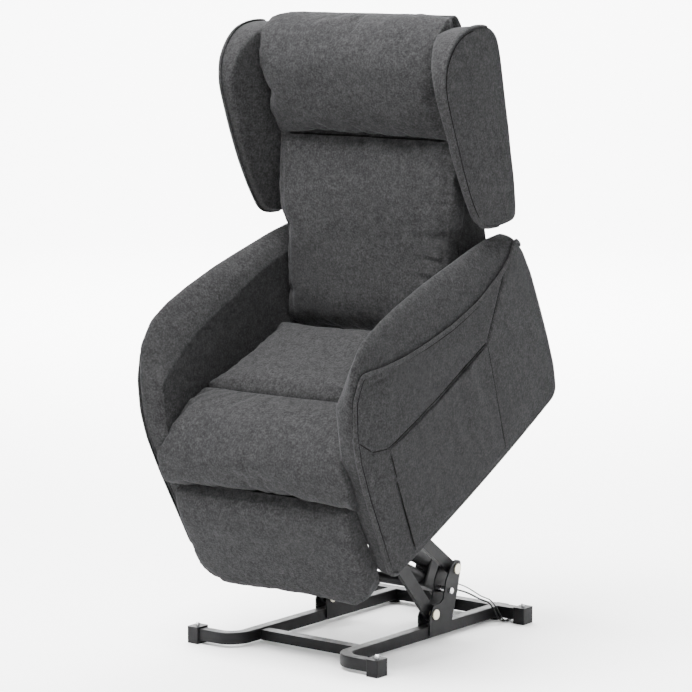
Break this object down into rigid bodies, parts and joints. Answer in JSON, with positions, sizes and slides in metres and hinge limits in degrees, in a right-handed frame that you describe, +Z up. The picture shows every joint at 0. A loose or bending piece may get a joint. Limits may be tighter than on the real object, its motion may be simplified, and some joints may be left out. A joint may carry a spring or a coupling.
{
  "type": "lift recliner chair",
  "caption": "Upholstered power lift recliner with wings, padded arms, side pocket, folding footrest and a steel lift base; raised pose, separate jointed parts.",
  "frame": {"origin": "on the floor, in the middle of the footprint box of the raised chair and its base, without the leads", "axes": "+Z up, the chair faces -Y, +X to the sitter's left"},
  "size_m": [0.692, 0.8884, 1.4648],
  "materials": {
    "upholstery_fabric": "charcoal melange woven microfibre",
    "black_steel": "fine-textured black powder coat",
    "black_plastic": "moulded, lightly textured",
    "black_rubber": "smooth flexible PVC and rubber",
    "bright_steel": "zinc-plated",
    "zinc_rivet": "dull nickel-plated rivet head",
    "frame_wood": "raw plywood and beech",
    "green_lens": "translucent green indicator"
  },
  "bodies": {
    "base": {"base_rail_left": "black_steel", "base_rail_right": "black_steel", "front_crossbar": "black_steel", "rear_crossbar": "black_steel", "foot_caps": "black_plastic", "cap_screws": "bright_steel", "rubber_glides": "black_rubber", "bracket_plates": "black_steel", "base_pivot_pins": "zinc_rivet", "bracket_bolts": "bright_steel", "junction_box": "black_plastic", "status_lens": "green_lens", "strain_reliefs": "black_rubber", "power_lead": "black_rubber", "branch_lead": "black_rubber", "lead_coil": "black_rubber", "lead_splice": "black_rubber", "lead_plug": "black_rubber"},
    "lower_lift_arms": {"lower_lift_arm_left": "black_steel", "lower_lift_arm_right": "black_steel", "lift_torque_tube": "black_steel"},
    "upper_lift_arms": {"upper_lift_arms": "black_steel", "upper_arm_cross_tube": "black_steel", "upper_front_pins": "bright_steel"},
    "lift_drive": {"lift_drive_housing": "black_plastic", "lift_drive_motor": "black_plastic"},
    "lift_rod": {"lift_drive_rod": "bright_steel"},
    "chair": {"arm_side_panel_left": "upholstery_fabric", "arm_side_panel_right": "upholstery_fabric", "arm_pad_left": "upholstery_fabric", "arm_pad_right": "upholstery_fabric", "seat_rails": "black_steel", "seat_cross_tubes": "black_steel", "mechanism_plates": "black_steel", "arm_boards": "frame_wood", "chair_pivot_pins": "bright_steel", "seat_box_rails": "frame_wood", "seat_springs": "bright_steel", "seat_cushion": "upholstery_fabric", "seat_front_roll": "upholstery_fabric", "side_pocket": "upholstery_fabric", "rear_apron": "upholstery_fabric"},
    "backrest": {"wing_left": "upholstery_fabric", "wing_right": "upholstery_fabric", "back_stiles": "frame_wood", "back_cross_rails": "frame_wood", "back_torque_tube": "black_steel", "back_cushion": "upholstery_fabric", "head_pillow": "upholstery_fabric", "outside_back": "upholstery_fabric"},
    "recline_drive": {"recline_drive_housing": "black_plastic", "recline_drive_motor": "black_plastic"},
    "recline_rod": {"recline_drive_rod": "bright_steel"},
    "footrest_rear_links": {"footrest_rear_links": "black_steel", "footrest_torque_tube": "black_steel"},
    "footrest_front_links": {"footrest_front_links": "black_steel"},
    "footrest_panel": {"footrest_board": "frame_wood", "footrest_cushion": "upholstery_fabric", "footrest_brackets": "black_steel"}
  },
  "joints": [
    {"name": "lift", "type": "hinge", "parent": "base", "child": "lower_lift_arms", "pos_m": [0, 0.099, 0.063], "axis": [1, 0, 0], "range_deg": [0, 35.78]},
    {"name": "chair_tilt", "type": "hinge", "parent": "lower_lift_arms", "child": "chair", "pos_m": [0, -0.1254, 0.31843], "axis": [-1, 0, 0], "range_deg": [0, 65.79]},
    {"name": "upper_arms_swing", "type": "hinge", "parent": "base", "child": "upper_lift_arms", "pos_m": [0, 0.185, 0.158], "axis": [1, 0, 0], "range_deg": [0, 30.13]},
    {"name": "lift_drive_swing", "type": "hinge", "parent": "base", "child": "lift_drive", "pos_m": [0, 0.3, 0.08], "axis": [1, 0, 0], "range_deg": [0, 12.99]},
    {"name": "lift_rod_slide", "type": "slide", "parent": "lift_drive", "child": "lift_rod", "axis": [0, -0.9017, 0.4324], "range_m": [0, 0.05146]},
    {"name": "recline", "type": "hinge", "parent": "chair", "child": "backrest", "pos_m": [0, 0.12997, 0.70951], "axis": [-1, 0, 0], "range_deg": [0, 38]},
    {"name": "recline_drive_swing", "type": "hinge", "parent": "chair", "child": "recline_drive", "pos_m": [0, -0.1701, 0.40924], "axis": [1, 0, 0], "range_deg": [0, 0.27902]},
    {"name": "recline_rod_slide", "type": "slide", "parent": "recline_drive", "child": "recline_rod", "axis": [0, -0.8537, -0.5207], "range_m": [0, 0.06842]},
    {"name": "footrest", "type": "hinge", "parent": "chair", "child": "footrest_rear_links", "pos_m": [0, -0.22438, 0.34326], "axis": [-1, 0, 0], "range_deg": [0, 105]},
    {"name": "footrest_knee", "type": "hinge", "parent": "footrest_rear_links", "child": "footrest_front_links", "pos_m": [0, -0.14406, 0.22855], "axis": [1, 0, 0], "range_deg": [0, 159.01]},
    {"name": "footrest_panel_turn", "type": "hinge", "parent": "footrest_front_links", "child": "footrest_panel", "pos_m": [0, -0.29335, 0.37272], "axis": [-1, 0, 0], "range_deg": [0, 144.01]}
  ],
  "couplings": [
    {"joint": "chair_tilt", "follows": "lift", "ratio": 1.8384},
    {"joint": "upper_arms_swing", "follows": "lift", "ratio": 0.84188},
    {"joint": "lift_drive_swing", "follows": "lift", "ratio": 0.36269},
    {"joint": "lift_rod_slide", "follows": "lift", "m_per_rad": 0.082231},
    {"joint": "recline_drive_swing", "follows": "recline", "ratio": 0.00708},
    {"joint": "recline_rod_slide", "follows": "recline", "m_per_rad": 0.10301},
    {"joint": "footrest_knee", "follows": "footrest", "ratio": 1.5143},
    {"joint": "footrest_panel_turn", "follows": "footrest", "ratio": 1.3714}
  ]
}
